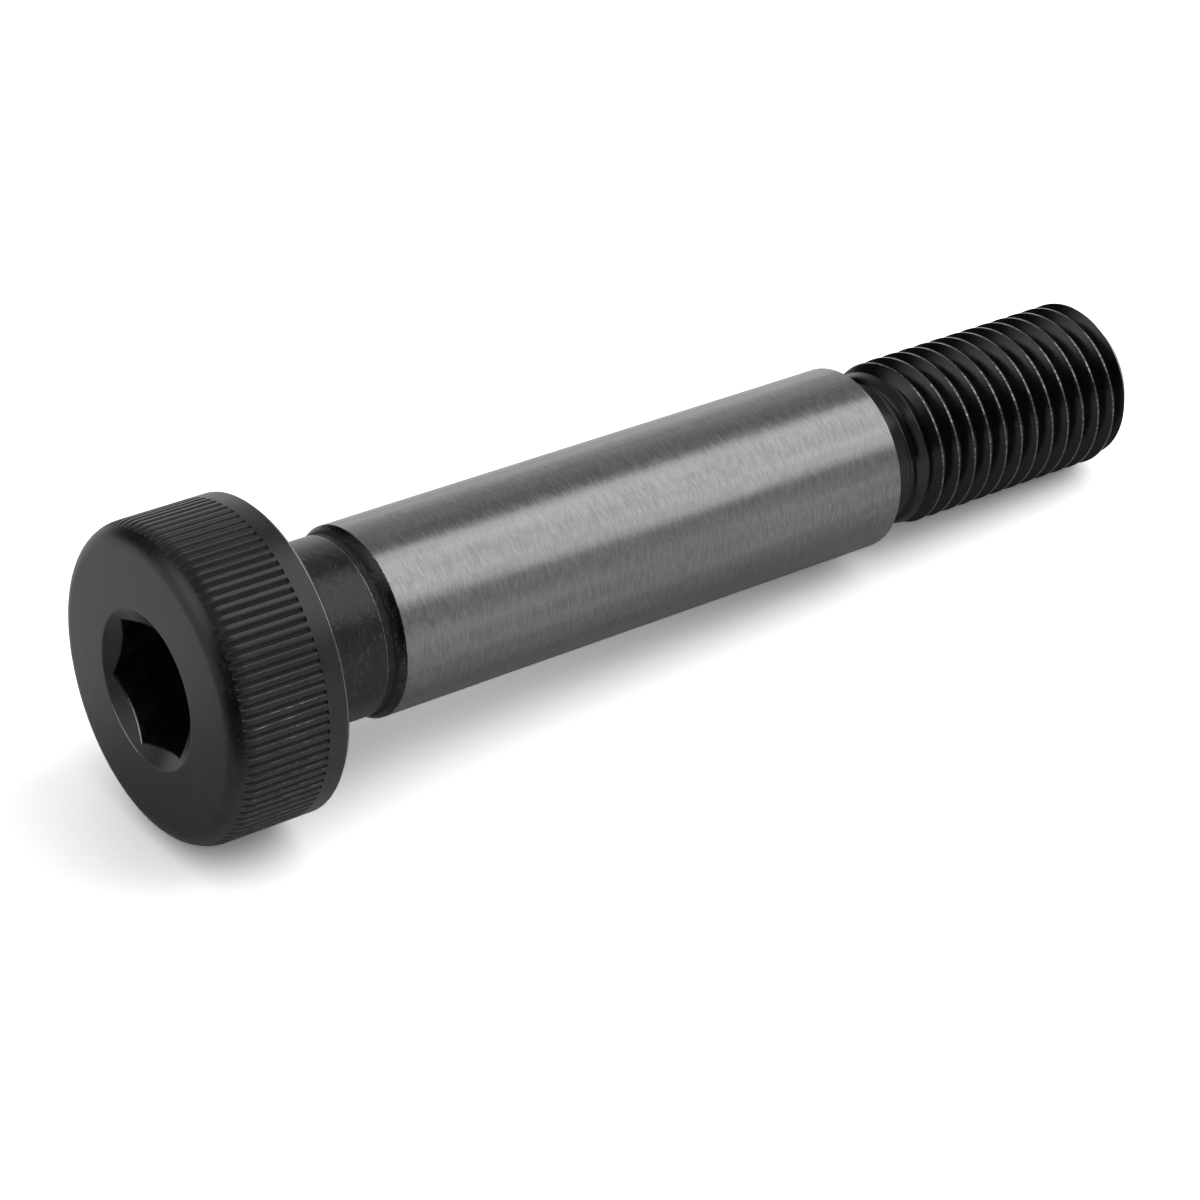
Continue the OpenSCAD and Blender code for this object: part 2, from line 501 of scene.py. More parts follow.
@dataclass(frozen=True)
class GroundSteel:
    """Ground steel: bare, with fine scratches round the axis and a line of oxide at its head end.

    Attributes:
        name: Name of the material.
        start: Station of the shoulder's head end.
        colour: Colour of the steel.
        levels: Levels of its darkest and its lightest scratches.
        level_span: Where the scratches turn from dark to light.
        oxide: Colour of the oxide.
        roughness: Roughness of the steel.
        index: Index of refraction of the oxide.
        oxide_line: How far the oxide reaches onto the shoulder.
        ragged: How far the line's edge strays.
        line_span: Distances from the line at which the oxide starts and ends.
        scratch_depth: Depth of the scratches, in metres.
        scratch_scale: Their scale, which is finest along the bolt.
        scratch_share: Share of the scratches in the steel's levels, the rest of which is streaks.
        sway_reach: How far the scratches stray along the axis, in millimetres.
        streak_scale: Scale of the streaks, which run along the bolt.
    """

    name: str
    start: float
    colour: Colour = (0.2, 0.2, 0.202, 1)
    levels: Span = (0.76, 1.24)
    level_span: Span = (0.3, 0.7)
    oxide: Colour = (0.0035, 0.0035, 0.0037, 1)
    roughness: float = 0.24
    index: float = 1.4
    oxide_line: float = 0.1
    ragged: float = 0.35
    ragged_scale: Triple = (2.5, 2.5, 1.0)
    ragged_detail: float = 3
    line_span: Span = (-0.03, 0.03)
    oxide_roughness: float = 0.15
    scratch_depth: float = 0.000004
    scratch_scale: Triple = (0.7, 0.7, 4.6)
    scratch_detail: float = 4
    scratch_fineness: float = 0.65
    scratch_share: float = 0.7
    scratch_roughness: float = 0.2
    sway_scale: float = 0.5
    sway_detail: float = 2
    sway_reach: float = 0.9
    streak_scale: Triple = (0.5, 0.5, 0.03)
    streak_detail: float = 2
    cloud_scale: float = 0.25
    cloud_detail: float = 3
    cloud_roughness: float = 0.08

    def material(self, lie: Matrix) -> bpy.types.Material:
        """Makes the material.

        Args:
            lie: Where the bolt lies.

        Returns:
            The material.
        """
        material = bpy.data.materials.new(self.name)
        material.use_nodes = True
        graph = Graph(material.node_tree)
        space = BoltSpace.make(graph, lie)
        swayed = space.swayed(self.sway_scale, self.sway_detail, self.sway_reach)
        scratches = swayed.noise(self.scratch_scale, self.scratch_detail, self.scratch_fineness)
        streaks = space.noise(self.streak_scale, self.streak_detail)
        cloud = space.noise(self.cloud_scale, self.cloud_detail)
        ragged = space.noise(self.ragged_scale, self.ragged_detail)
        line = space.z - self.start - self.oxide_line + (ragged - 0.5) * self.ragged
        clean = graph.step(line, *self.line_span)
        lines = streaks * (1 - self.scratch_share) + scratches * self.scratch_share
        dark, light = (shade(self.colour, level) for level in self.levels)
        steel = graph.blend(graph.step(lines, *self.level_span), dark, light)
        colour = graph.blend(clean, self.oxide, steel)
        uneven = (scratches - 0.5) * self.scratch_roughness + (cloud - 0.5) * self.cloud_roughness
        roughness = self.roughness + uneven + (1 - clean) * self.oxide_roughness
        shader = graph.add("ShaderNodeBsdfPrincipled", inputs={
            "Base Color": colour, "Metallic": clean, "Roughness": roughness, "IOR": self.index,
            "Normal": graph.bump(scratches, self.scratch_depth)})
        graph.add("ShaderNodeOutputMaterial", inputs={"Surface": shader.outputs[0]})
        return material


def set_up(turning: Turning, name: str, lie: Matrix, material: bpy.types.Material) -> bpy.types.Object:
    """Finishes one piece of the bolt.

    Args:
        turning: Its mesh in the bolt's own frame.
        name: Its name.
        lie: Where the bolt lies.
        material: Its finish.

    Returns:
        The piece.
    """
    piece = turning.finish(name, lie)
    piece.data.materials.append(material)
    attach(piece, BODY)
    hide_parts(NODE)
    return piece


@dataclass(frozen=True)
class Head:
    """Knurled head with its hexagon socket.

    Attributes:
        round_width: How far the front round reaches across the face.
        round_length: How far it reaches along the axis.
        edge_break: Width of the broken edges.
        rim_lip: How far before the rear rim its wear starts.
        groove_front: Station of the grooves' tips.
        groove_runout: Length over which a groove gets its full width and depth.
        groove_rear: Width of the plain band behind the grooves.
        groove_corner: Round of a groove's rear corners.
        runout_rows: Shares of the run-out at which the mesh has rows.
        round_rows: Shares of the rest of the front round at which it has rows.
        corner_rows: Rows of a rear corner: how far it is before the end and how much narrower, both in
            corners, and the share of the depth.
        groove_form: Shares of a groove's half width and of its depth, from its middle to its edge.
        rib_form: Shares of a rib's half width, from its edge to its middle.
        rim_form: Shares of the rear chamfer, each with the wear of the rim there.
        groove_edge_depth: How far a groove's broken edge lies down, as a share of the break.
        groove_worn: Wear of the grooves' edges. Each wear is greatest at its side, an angle round the
        axis in degrees, and falls off the quicker the narrower it is. The wear is real; its falling
        off away from that side is a painted highlight.
    """

    diameter: float = 36.0
    height: float = 14.0
    round_width: float = 2.4
    round_length: float = 2.8
    round_steps: int = 8
    edge_break: float = 0.05
    rim_chamfer: float = 0.4
    rim_lip: float = 0.09
    rim_form: tuple[Span, ...] = ((0.0, 2.5), (0.2, 0.9), (0.5, 0.0), (1.0, 0.4))
    # Side where the rim's wear is greatest, which paints a highlight there, and how quickly it falls off.
    rim_highlight_side: float = -146.0
    rim_highlight_narrow: float = 1.2
    grooves: int = 100
    groove_width: float = 0.6
    groove_front: float = 1.2
    groove_runout: float = 0.7
    groove_rear: float = 2.7
    groove_corner: float = 0.1
    runout_rows: tuple[float, ...] = (0.08, 0.25, 0.5, 1.0)
    round_rows: tuple[float, ...] = (0.4, 0.7, 1.0)
    corner_rows: tuple[Triple, ...] = ((1.5, 0.0, 1.0), (0.5, 0.25, 1.0), (0.2, 0.7, 0.9), (0.0, 1.0, 0.0))
    groove_form: tuple[Span, ...] = ((0.0, 0.86), (0.2, 0.8), (0.6, 0.44))
    rib_form: tuple[float, ...] = (0.0, 0.5, 1.0)
    groove_edge_depth: float = 0.6
    groove_worn: float = 1.15
    # Side where the grooves' edge wear is greatest, which paints a highlight there, and how quickly it
    # falls off.
    groove_highlight_side: float = -106.0
    groove_highlight_narrow: float = 2.0
    across_flats: float = 14.0
    socket_depth: float = 10.0
    point_depth: float = 0.5
    mouth_diameter: float = 18.0
    socket_angle: float = 120.0
    socket_turn: float = 47.0
    socket_worn: float = 1.8
    mouth_worn: float = 1.5
    # Side where the socket's edge wear is greatest, which paints a highlight there, and how quickly it
    # falls off.
    socket_highlight_side: float = 3.0
    socket_highlight_narrow: float = 12.0

    @property
    def radius(self) -> float:
        """Radius over the head."""
        return self.diameter / 2

    @property
    def half_groove_columns(self) -> int:
        """Columns of the mesh from the middle of a groove to the middle of a rib."""
        return len(self.groove_form) + len(self.rib_form)

    @property
    def columns(self) -> int:
        """Columns of the mesh round the axis."""
        return 2 * self.grooves * self.half_groove_columns

    def outline(self, z: float) -> float:
        """Radius of the head's side at a station, with its front round."""
        share = max(0.0, 1 - z / self.round_length)
        return self.radius - self.round_width * (1 - math.sqrt(1 - share * share))

    def front_rows(self) -> list[Row]:
        """Rows round the front.

        Returns:
            The rows from the face to just before the tips of the grooves.
        """
        last = math.acos(1 - self.groove_front / self.round_length)
        angles = [last * i / self.round_steps for i in range(self.round_steps)]
        stations = [self.round_length * (1 - math.cos(angle)) for angle in angles]
        return [Row(self.outline(z), z) for z in stations]

    def rear_rows(self) -> list[Row]:
        """Rows of the plain band, the rear rim and the underside.

        Returns:
            The rows from just behind the grooves to the axis.
        """
        r, chamfer, height = self.radius, self.rim_chamfer, self.height
        rows = [
            Row(r, height - self.groove_rear + 4 * self.edge_break),
            Row(r, height - chamfer - self.rim_lip),
        ]
        for share, wear in self.rim_form:
            rows.append(Row(r - share * chamfer, height - (1 - share) * chamfer, wear))
        rows.append(Row(r - chamfer - 3 * self.edge_break, height))
        rows.append(Row(0, height))
        return rows

    def countersink_z(self, radius: float) -> float:
        """Depth of the countersink at a radius."""
        return (self.mouth_diameter / 2 - radius) / math.tan(math.radians(self.socket_angle / 2))

    def hexagon_radius(self, angle: float) -> float:
        """Radius of the hexagon at an angle from one of its corners, in radians."""
        sixth = TURN / 6
        return self.across_flats / 2 / math.cos(angle % sixth - sixth / 2)

    def socket_rows(self) -> list[tuple[Row, float | None]]:
        """Rows from the shallow cone at the bottom of the socket out to the face of the head.

        The rows a few edge breaks away from an edge keep its wear to it.

        Returns:
            Each row with its distance outside the hexagon, or None where the row is round.
        """
        mouth, flat, line = self.mouth_diameter / 2, self.across_flats / 2, self.edge_break
        inside, edge = mouth - 3 * line, mouth - line
        return [
            (Row(0, self.socket_depth + self.point_depth), None),
            (Row(flat, self.socket_depth), 0.0),
            (Row(flat, 6 * line), 0.0),
            (Row(flat, line, self.socket_worn), 0.0),
            (Row(flat, 0, self.socket_worn), line),
            (Row(flat, 0), 3 * line),
            (Row(inside, self.countersink_z(inside)), None),
            (Row(edge, self.countersink_z(edge), self.mouth_worn), None),
            (Row(mouth + line, 0, self.mouth_worn), None),
            (Row(mouth + 4 * line, 0), None),
        ]

    def groove_rows(self) -> list[tuple[Row, float, float]]:
        """Rows along the knurl.

        Returns:
            Each row with the half width of a groove there and its depth at the middle.
        """
        half, corner = self.groove_width / 2, self.groove_corner
        tip, end = self.groove_front, self.height - self.groove_rear
        cut = tip + self.groove_runout
        rows = [(Row(self.outline(tip), tip), 0.0, 0.0)]
        for share in self.runout_rows:
            width = math.sqrt(1 - (1 - share) ** 2) * half
            z = tip + share * self.groove_runout
            rows.append((Row(self.outline(z), z), width, width))
        for share in self.round_rows:
            z = cut + share * (self.round_length - cut)
            rows.append((Row(self.outline(z), z), half, half))
        for back, narrower, deep in self.corner_rows:
            rows.append((Row(self.radius, end - back * corner), half - narrower * corner, deep * half))
        return rows

    def groove_place(self, column: int, half: float, depth: float) -> tuple[float, float, float]:
        """Where a column of the knurl lies.

        Args:
            column: Number of the column, 0 in the middle of a groove.
            half: Half width of the groove on this row.
            depth: Depth of its middle on this row.

        Returns:
            The angle round the axis, the depth and the wear.
        """
        groove, k = divmod(column, 2 * self.half_groove_columns)
        side = 1
        if k > self.half_groove_columns:
            groove, k, side = groove + 1, 2 * self.half_groove_columns - k, -1
        inside = len(self.groove_form)
        down, wear = 0.0, 0.0
        if k < inside:
            share, deep = self.groove_form[k]
            across, down = share * half, deep * depth
            wear = ROUGH if depth else 0.0
        elif k == inside:
            across, down = half, self.groove_edge_depth * min(self.edge_break, depth)
            wear = self.groove_worn if depth else 0.0
        else:
            outside, middle = half + self.edge_break, TURN * self.radius / self.grooves / 2
            across = outside + (middle - outside) * self.rib_form[k - inside - 1]
        return groove * TURN / self.grooves + side * across / self.radius, down, wear

    def socket_place(self, base: Row, outside: float | None, angle: float, wear: float) -> Placed:
        """Where a point of the socket or of its edge lies.

        Args:
            base: Its row.
            outside: How far the row is outside the hexagon, or None where it is round.
            angle: Its angle round the axis.
            wear: Wear of its row.

        Returns:
            Its radius, angle, z and wear.
        """
        # The socket's edge wear is real; its falling off away from one side paints a highlight there.
        wear *= highlight_side_share(angle, self.socket_highlight_side, self.socket_highlight_narrow)
        if outside is None:
            return base.radius, angle, base.z, wear
        radius = self.hexagon_radius(angle - math.radians(self.socket_turn)) + outside
        if base.z == self.socket_depth:
            return radius, angle, base.z - self.point_depth * (2 * radius / self.across_flats - 1), wear
        return radius, angle, self.countersink_z(radius) + base.z, wear

    def build(self) -> Turning:
        """Turns the head, presses the hexagon in and rolls the knurl.

        Returns:
            The head's mesh.
        """
        socket = self.socket_rows()
        front = self.front_rows()
        grooves = self.groove_rows()
        turning = Turning()
        outline = [row for row, _ in socket] + front + [groove[0] for groove in grooves] + self.rear_rows()
        turning.spin(outline, self.columns)
        first_groove = len(socket) + len(front)
        step = TURN / self.columns
        phase = math.radians(self.socket_turn) % step

        def shape(row: int, column: int, spot: Vector, wear: float) -> Placed:
            """Gives a vertex its radius, angle, z and wear."""
            if row < len(socket):
                return self.socket_place(*socket[row], column * step + phase, wear)
            half, depth = self.groove_width / 2, 0.0
            if first_groove <= row < first_groove + len(grooves):
                _, half, depth = grooves[row - first_groove]
            angle, down, rubbed = self.groove_place(column, half, depth)
            # The edges' wear is real; its falling off away from one side paints a highlight where the light
            # catches them.
            if rubbed > 0:
                rubbed *= highlight_side_share(angle, self.groove_highlight_side, self.groove_highlight_narrow)
            elif wear > 0:
                rubbed = wear * highlight_side_share(angle, self.rim_highlight_side, self.rim_highlight_narrow)
            return spot.xy.length - down, angle, spot.z, rubbed

        turning.reshape(self.columns, shape)
        return turning

    def dress(self, lie: Matrix) -> bpy.types.Object:
        """Gives the head its dull black oxide.

        Args:
            lie: Where the bolt lies.

        Returns:
            The piece.
        """
        oxide = BlackOxide("oxide_head", colour=(0.0015, 0.0015, 0.0016, 1), patches=(0.3, 5.0))
        return set_up(self.build(), "bolt_head", lie, oxide.material(lie))


@dataclass(frozen=True)
class Neck:
    """Turned neck with the fillet under the head, the undercut and the lead-in cone.

    Attributes:
        edge_from: How far before the undercut the wear of the neck's edge starts.
        edge_to: How far before the undercut that wear is greatest.
        under_round: Round between the undercut's floor and the cone.
        lead_edge: Height of the last step up to the shoulder.
    """

    start: float
    shoulder_diameter: float
    diameter: float = 20.7
    length: float = 9.8
    fillet: float = 0.6
    fillet_steps: int = 6
    edge_worn: float = 1.5
    edge_from: float = 0.12
    edge_to: float = 0.03
    under_depth: float = 0.15
    under_length: float = 0.9
    under_round: float = 0.3
    under_steps: int = 4
    lead_length: float = 1.1
    lead_steps: int = 5
    lead_edge: float = 0.05
    columns: int = 256

    @property
    def end(self) -> float:
        """Station where the shoulder starts."""
        return self.start + self.length + self.under_length + self.lead_length

    def build(self) -> Turning:
        """Turns the neck.

        Returns:
            The neck's mesh.
        """
        r, shoulder_r = self.diameter / 2, self.shoulder_diameter / 2
        under_r = r - self.under_depth
        z_under = self.start + self.length
        z_lead = z_under + self.under_length
        rise = (shoulder_r - under_r) / self.lead_length
        lead = math.atan(rise)
        reach = self.under_round * math.tan(lead / 2)
        rows = [Row(0, self.start)]
        rows += arc((r + self.fillet, self.start + self.fillet), self.fillet, 270, 180, self.fillet_steps)
        rows += [Row(r, z_under - self.edge_from), Row(r, z_under - self.edge_to, self.edge_worn)]
        floor = arc((r, z_under + self.under_depth), self.under_depth, 270, 180, self.under_steps)
        centre = (under_r + self.under_round, z_lead - reach)
        floor += arc(centre, self.under_round, 180, 180 - math.degrees(lead), self.lead_steps)
        rows += [Row(row.radius, row.z, ROUGH) for row in floor]
        rows += [
            Row(shoulder_r - self.lead_edge, self.end - self.lead_edge / rise),
            Row(shoulder_r, self.end),
            Row(0, self.end),
        ]
        turning = Turning()
        turning.spin(rows, self.columns)
        return turning

    def dress(self, lie: Matrix) -> bpy.types.Object:
        """Gives the neck its glossier black oxide, scratched round the axis.

        Args:
            lie: Where the bolt lies.

        Returns:
            The piece.
        """
        oxide = BlackOxide(
            "oxide_neck", roughness=0.22, index=1.41, marks=0.8, mark_depth=0.00006, scratched=0.12)
        return set_up(self.build(), "bolt_neck", lie, oxide.material(lie))


@dataclass(frozen=True)
class Shoulder:
    """Ground shoulder.

    Attributes:
        cells: Number of lengths that its mesh is cut in.
        first_cell: Length of the mesh's first, narrow ring.
        last_cell: Width over which the wear of the end's edge fades on the shoulder.
        face_edge: Width over which it fades on the end face.
    """

    start: float
    diameter: float = 22.0
    length: float = 70.0
    chamfer: float = 0.3
    cells: int = 14
    first_cell: float = 0.1
    last_cell: float = 0.12
    face_edge: float = 0.15
    edge_worn: float = 1.0
    columns: int = 256

    @property
    def end(self) -> float:
        """Station of its end face."""
        return self.start + self.length

    def build(self) -> Turning:
        """Grinds the shoulder.

        Returns:
            The shoulder's mesh.
        """
        r = self.diameter / 2
        rows = [Row(0, self.start), Row(r, self.start), Row(r, self.start + self.first_cell)]
        rows += [Row(r, self.start + self.length * i / self.cells) for i in range(1, self.cells)]
        rows += [
            Row(r, self.end - self.chamfer - self.last_cell),
            Row(r, self.end - self.chamfer, self.edge_worn),
            Row(r - self.chamfer, self.end, self.edge_worn),
            Row(r - self.chamfer - self.face_edge, self.end),
            Row(0, self.end),
        ]
        turning = Turning()
        turning.spin(rows, self.columns)
        return turning

    def dress(self, lie: Matrix) -> bpy.types.Object:
        """Leaves the shoulder bare ground steel.

        Args:
            lie: Where the bolt lies.

        Returns:
            The piece.
        """
        steel = GroundSteel("ground_steel", self.start)
        return set_up(self.build(), "bolt_shoulder", lie, steel.material(lie))


@dataclass(frozen=True)
class Thread:
    """Right-hand thread with its relief, its run-out and its end chamfer.

    Attributes:
        flank_angle: Slope of a flank, half the angle of the V.
        first_crest: How far the first crest's helix starts behind the shoulder.
        relief_fillet: Round between the shoulder's end face and the relief.
        fade_length: Length over which the blank rises from the relief to the full thread.
        edge: Width of the worn edge of a crest.
        root_round: How far the corners of the root are filled.
        spare_turns: Turns of the screw beyond the thread's own, which the blank cuts off.
        tries: Number of tries at the width of a crest.
    """

    start: float
    diameter: float = 20.0
    pitch: float = 2.5
    length: float = 38.5
    chamfer: float = 1.9
    flank_angle: float = 30.0
    first_crest: float = 0.6
    relief_diameter: float = 16.2
    relief_length: float = 1.3
    relief_fillet: float = 0.8
    relief_steps: int = 6
    fade_length: float = 5.4
    edge: float = 0.07
    root_round: float = 0.06
    crest_worn: float = 1.2
    edge_worn: float = 0.7
    columns: int = 128
    spare_turns: int = 3
    tries: int = 40

    @property
    def end(self) -> float:
        """Station of the end of the bolt."""
        return self.start + self.length

    @property
    def v_height(self) -> float:
        """Height of the sharp V of the form."""
        return self.pitch * math.sqrt(3) / 2

    @property
    def v_tip(self) -> float:
        """Radius at which the flanks would meet above the crest, an eighth of the V higher."""
        return self.diameter / 2 + self.v_height / 8

    @property
    def root(self) -> float:
        """Radius of the root, with seventeen of the V's twenty-four parts cut away."""
        return self.diameter / 2 - self.v_height * 17 / 24

    @property
    def crest_flat(self) -> float:
        """Half width of the standard crest."""
        return self.pitch / 16

    @property
    def slope(self) -> float:
        """Distance along the axis for each millimetre down a flank."""
        return math.tan(math.radians(self.flank_angle))

    def blank(self, z: float) -> float:
        """Radius of the blank that the thread is cut in.

        Args:
            z: The station.

        Returns:
            The radius there: the relief, the run-out's cone, the full thread or the end chamfer.
        """
        r, relief_r = self.diameter / 2, self.relief_diameter / 2
        fade = self.start + self.relief_length
        rise = (z - fade) / self.fade_length
        return min(r, relief_r + (r - relief_r) * max(0.0, rise), r + self.end - self.chamfer - z)

    def crest_half(self, crest: float, side: int) -> float:
        """Half width of the crest, to one side of its middle, where the flank leaves the blank.

        Args:
            crest: Station of the middle of the crest.
            side: 1 towards the end of the bolt, -1 towards its head.

        Returns:
            The half width.
        """
        half = self.crest_flat
        for _ in range(self.tries):
            half = (self.v_tip - self.blank(crest + side * half)) * self.slope
            half = min(max(half, 0.0), self.pitch * Form.FOOT.value)
        return half

    def flank_place(self, point: Form, crest: float, side: int) -> float:
        """How far a point of the form is from the middle of its crest.

        Args:
            point: The point.
            crest: Station of the middle of the crest.
            side: 1 towards the end of the bolt, -1 towards its head.

        Returns:
            The distance along the axis.
        """
        if point is Form.EDGE:
            return self.crest_half(crest, side)
        if point is Form.BREAK:
            return min(self.crest_half(crest, side) + self.edge, self.pitch * Form.FOOT.value)
        return self.pitch * point.value

    def build(self) -> Turning:
        """Cuts the thread: one pitch of the form is screwed along the axis and held within the blank.

        Returns:
            The thread's mesh.
        """
        pitch, columns = self.pitch, self.columns
        low, high = self.start + self.relief_fillet, self.end
        form_start = self.start + self.first_crest - pitch
        worn = {Form.CREST: self.crest_worn, Form.EDGE: self.edge_worn}
        points = list(Form)
        form = [(-1, point) for point in reversed(points[1:])] + [(1, point) for point in points]
        turns = math.ceil(self.length / pitch) + self.spare_turns
        turning = Turning()
        stations = [form_start + side * pitch * point.value for side, point in form]
        outline = [Row(self.root, z, worn.get(point, 0.0)) for z, (_, point) in zip(stations, form)]
        turning.spin(outline, turns * columns, turns, pitch / columns)

        def shape(row: int, spot: Vector, wear: float) -> Placed:
            """Gives a vertex its radius, angle, z and wear."""
            side, point = form[row]
            step = round((spot.z - stations[row]) / pitch * columns)
            crest = form_start + pitch * step / columns
            angle = TURN * (step % columns) / columns
            away = self.flank_place(point, crest, side)
            z = crest + side * away
            if z <= low or z >= high:
                held = min(max(z, low), high)
                return self.blank(held), angle, held, 0.0
            radius = max(self.root, self.v_tip - away / self.slope)
            if point is Form.FOOT:
                radius += self.root_round
            wide = self.crest_half(crest, side) / self.crest_flat - 1
            return min(radius, self.blank(z)), angle, z, wear * max(0.0, 1 - 2 * abs(wide))

        turning.rework(shape)
        relief_r = self.relief_diameter / 2
        fillet = arc((relief_r + self.relief_fillet, low), self.relief_fillet, 270, 180, self.relief_steps)
        turning.spin([Row(0, self.start)] + fillet, columns)
        turning.spin([Row(self.blank(high), high), Row(0, high)], columns)
        return turning

    def dress(self, lie: Matrix) -> bpy.types.Object:
        """Gives the thread its even, glossy black oxide.

        Args:
            lie: Where the bolt lies.

        Returns:
            The piece.
        """
        oxide = BlackOxide(
            "oxide_thread", bare=(0.17, 0.17, 0.173, 1), roughness=0.2, index=1.45,
            patches=(0.3, 0.8), scratched=0.02)
        return set_up(self.build(), "bolt_thread", lie, oxide.material(lie))


@dataclass(frozen=True)
class Lie:
    """How the bolt lies: on the rear rim of its head and on the last full crest of its thread.

    Attributes:
        head: The head.
        thread: The thread.
        front_round: Radius of the solid's front round, which is less full than the head's own.
        roll: Turn about the axis, in degrees, that brings a full crest under the lowest line.
    """

    head: Head
    thread: Thread
    front_round: float = 2.0
    roll: float = 26.0

    def matrix(self) -> Matrix:
        """The place of the bolt.

        Returns:
            The matrix from its own frame in millimetres to metres on the floor.
        """
        head, thread = self.head, self.thread
        thread_r = thread.diameter / 2
        rim = head.height - head.rim_chamfer
        low = thread.start + thread.first_crest - thread.pitch * self.roll / 360
        last = thread.end - thread.chamfer
        crests = math.floor((last - thread.crest_flat - low) / thread.pitch)
        crest = low + crests * thread.pitch + thread.crest_flat
        fall = math.atan((head.radius - thread_r) / (crest - rim))
        height = rim * math.sin(fall) + head.radius * math.cos(fall)
        flat_r = head.radius - self.front_round
        reach_head = self.front_round * (math.cos(fall) - 1) - flat_r * math.sin(fall)
        reach_thread = thread.end * math.cos(fall) + (thread_r - thread.chamfer) * math.sin(fall)
        place = Matrix.Translation((-(reach_head + reach_thread) / 2, 0, height))
        turned = Matrix.Rotation(TURN / 4 + fall, 4, "Y") @ Matrix.Rotation(math.radians(self.roll), 4, "Z")
        return Matrix.Scale(MM, 4) @ place @ turned


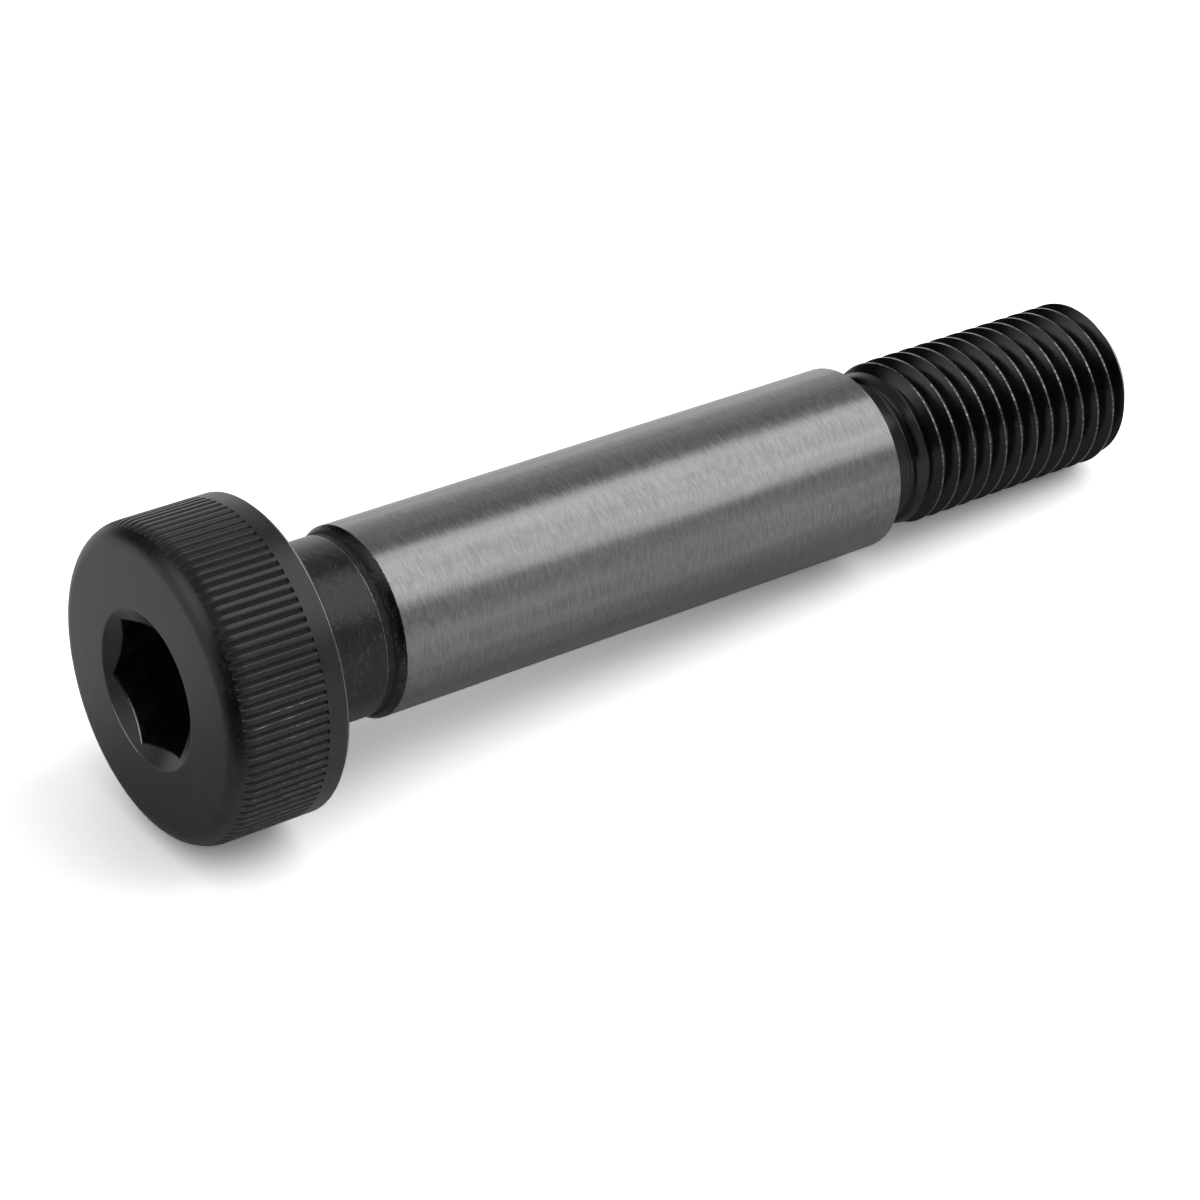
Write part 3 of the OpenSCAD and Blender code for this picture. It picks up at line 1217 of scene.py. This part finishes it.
@dataclass(frozen=True)
class Studio:
    """Pale floor, soft light, white surroundings and the camera, in metres.

    Attributes:
        floor_level: Grey level of the floor, by which it lights the bolt.
        floor_seen: Its level as the camera sees it, which clips to white outside the shadow.
        floor_mirrored: Its level as metal mirrors it.
        shade_along: Direction of the sector of painted shade that metal mirrors on the floor, before the
            head.
        shade_across: Direction across that sector.
        painted_shadow_width: Where the painted shadow under the bolt, which only metal mirrors on the
            floor, starts, and where it is darkest.
        sky: Strength of the surroundings high up, as metal mirrors them.
        sky_low: What is added towards the horizon.
        sky_far: What is added there beyond the bolt.
        camera_flag: Direction of the dark flag on the camera's side, with its span.
        far_flag: Direction of the dark flag beyond the bolt.
        glint_side: Direction of the small lamp that metal mirrors.
        ambient: Strength of the plain light.
        softbox_at: Place of the softbox from the shoulder's front.
        camera_azimuth: Where the camera stands, in degrees round the floor.
        camera_elevation: How far it looks down, in degrees.
        rise: How far its picture is shifted up, as a share of the sensor.
    """

    floor_size: float = 8.0
    floor_level: float = 0.8
    floor_seen: float = 1.86
    floor_mirrored: float = 0.9
    shade_along: Triple = (-0.78, -0.62, 0.0)
    shade_across: Triple = (-0.62, 0.78, 0.0)
    shade_middle: float = 0.045
    shade_start: Span = (0.06, 0.13)
    shade_half: float = 0.08
    shade_spread: float = 0.35
    shade_depth: float = 0.85
    # Width and depth of the painted shadow under the bolt, which only metal mirrors on the floor.
    painted_shadow_width: Span = (0.035, 0.008)
    under_depth: float = 0.35
    sky: float = 0.4
    sky_low: float = 0.28
    sky_far: float = 0.48
    low_height: float = 0.75
    far_span: Span = (-0.2, 0.4)
    camera_flag: Triple = (-0.74, -0.60, 0.30)
    camera_flag_span: Span = (0.7, 0.9)
    far_flag: Triple = (-0.30, 0.92, 0.25)
    far_flag_span: Span = (0.8, 0.95)
    flag_dark: float = 0.97
    glint_side: Triple = (-0.72, 0.10, 0.68)
    glint_span: Span = (0.85, 0.985)
    glint: float = 1.28
    ambient: float = 0.624
    softbox_at: Triple = (0.61, -0.305, 0.727)
    softbox_size: float = 0.905
    softbox_radiance: float = 1.6
    shoulder_front: Triple = (-0.040985, 0.0, 0.017132)
    camera_at: Triple = (-0.225900, -0.292524, 0.250383)
    camera_azimuth: float = -126.811976
    camera_elevation: float = 33.7525
    lens: float = 114.7
    sensor: float = 36.0
    rise: float = 0.001
    clip_start: float = 0.01
    clip_end: float = 20.0

    def floor(self) -> bpy.types.Object:
        """Lays the floor, which keeps the bolt's shadow.

        Returns:
            The floor.
        """
        bm = bmesh.new()
        bmesh.ops.create_grid(bm, x_segments=1, y_segments=1, size=self.floor_size / 2)
        mesh = bpy.data.meshes.new("floor")
        bm.to_mesh(mesh)
        bm.free()
        floor = bpy.data.objects.new("floor", mesh)
        bpy.context.scene.collection.objects.link(floor)
        mesh.materials.append(self.floor_material())
        return floor

    def floor_material(self) -> bpy.types.Material:
        """Makes the floor's pale paint, which looks whiter to the camera than it is, with painted shade
        before the head and a painted shadow under the bolt, both seen only as metal mirrors it.

        Returns:
            The material.
        """
        material = bpy.data.materials.new("pale_floor")
        material.use_nodes = True
        graph = Graph(material.node_tree)
        place = graph.add("ShaderNodeTexCoord").outputs["Object"]
        # Painted shade: a sector of the floor before the head, darker only as metal mirrors it.
        away = graph.along(place, self.shade_along)
        aside = abs(graph.along(place, self.shade_across) - self.shade_middle) - away * self.shade_spread
        sector = graph.step(away, *self.shade_start) * graph.step(aside, self.shade_half, 0)
        # Painted shadow: the floor under the bolt, darker only as metal mirrors it.
        under = graph.step(abs(graph.along(place, (0, 1, 0))), *self.painted_shadow_width)
        dark = graph.maths("MAXIMUM", sector * self.shade_depth, under * self.under_depth)
        level = graph.seen() * (self.floor_seen - self.floor_level) + self.floor_level
        # Metal mirrors the floor darker by the painted shade and the painted shadow.
        level += graph.mirrored() * (self.floor_mirrored - self.floor_level - dark)
        colour = graph.add("ShaderNodeCombineColor", inputs={0: level, 1: level, 2: level}).outputs[0]
        diffuse = graph.add("ShaderNodeBsdfDiffuse", inputs={"Color": colour})
        graph.add("ShaderNodeOutputMaterial", inputs={"Surface": diffuse.outputs[0]})
        return material

    def world(self) -> None:
        """Fills the surroundings: white where they are seen, a studio where metal mirrors them."""
        world = bpy.data.worlds.new("studio")
        world.use_nodes = True
        bpy.context.scene.world = world
        graph = Graph(world.node_tree)
        seen, mirrored = graph.seen(), graph.mirrored()
        direction = graph.add("ShaderNodeTexCoord").outputs["Generated"]
        parts = graph.add("ShaderNodeSeparateXYZ", inputs={0: direction})
        back, up = Value(graph, parts.outputs[1]), Value(graph, parts.outputs[2])
        low = graph.maths("MAXIMUM", 1 - up / self.low_height, 0.0)
        near_flag = graph.step(graph.along(direction, self.camera_flag), *self.camera_flag_span)
        far_flag = graph.step(graph.along(direction, self.far_flag), *self.far_flag_span)
        dark = graph.maths("MAXIMUM", near_flag, far_flag)
        glint = graph.step(graph.along(direction, self.glint_side), *self.glint_span)
        sky = self.sky + low * (self.sky_low + self.sky_far * graph.step(back, *self.far_span))
        room = sky * (1 - self.flag_dark * dark) + glint * self.glint
        plain = (1 - seen) * (1 - mirrored) * self.ambient
        strength = seen + mirrored * room + plain
        light = graph.add("ShaderNodeBackground", inputs={"Color": (1, 1, 1, 1), "Strength": strength})
        graph.add("ShaderNodeOutputWorld", inputs={"Surface": light.outputs[0]})

    def softbox(self) -> bpy.types.Object:
        """Hangs the softbox, high on the thread's side of the camera.

        Returns:
            The softbox.
        """
        data = bpy.data.lights.new("softbox", "AREA")
        data.shape, data.size = "SQUARE", self.softbox_size
        data.energy = self.softbox_radiance * math.pi * self.softbox_size ** 2
        lamp = bpy.data.objects.new("softbox", data)
        bpy.context.scene.collection.objects.link(lamp)
        place = Vector(self.softbox_at)
        lamp.location = place + Vector(self.shoulder_front)
        lamp.rotation_mode = "QUATERNION"
        lamp.rotation_quaternion = place.to_track_quat("Z", "Y")
        return lamp

    def camera(self) -> bpy.types.Object:
        """Sets up the camera at the photographed angle.

        Returns:
            The camera.
        """
        data = bpy.data.cameras.new("camera")
        data.sensor_width, data.lens, data.shift_y = self.sensor, self.lens, self.rise
        data.clip_start, data.clip_end = self.clip_start, self.clip_end
        camera = bpy.data.objects.new("camera", data)
        bpy.context.scene.collection.objects.link(camera)
        around = Matrix.Rotation(math.radians(self.camera_azimuth) + TURN / 4, 4, "Z")
        down = Matrix.Rotation(TURN / 4 - math.radians(self.camera_elevation), 4, "X")
        camera.matrix_world = Matrix.Translation(self.camera_at) @ around @ down
        bpy.context.scene.camera = camera
        return camera


def main() -> None:
    """Builds the bolt and its studio."""
    head = Head()
    neck = Neck(head.height, Shoulder.diameter)
    shoulder = Shoulder(neck.end)
    thread = Thread(shoulder.end)
    lie = Lie(head, thread).matrix()
    for part in (head, neck, shoulder, thread):
        piece = part.dress(lie)
        log.info("%s: %d faces", piece.name, len(piece.data.polygons))
    studio = Studio()
    studio.floor()
    studio.world()
    studio.softbox()
    studio.camera()
    bpy.context.scene.view_settings.view_transform = "Standard"


if __name__ == "__main__":
    logging.basicConfig(level=logging.INFO)
    main()
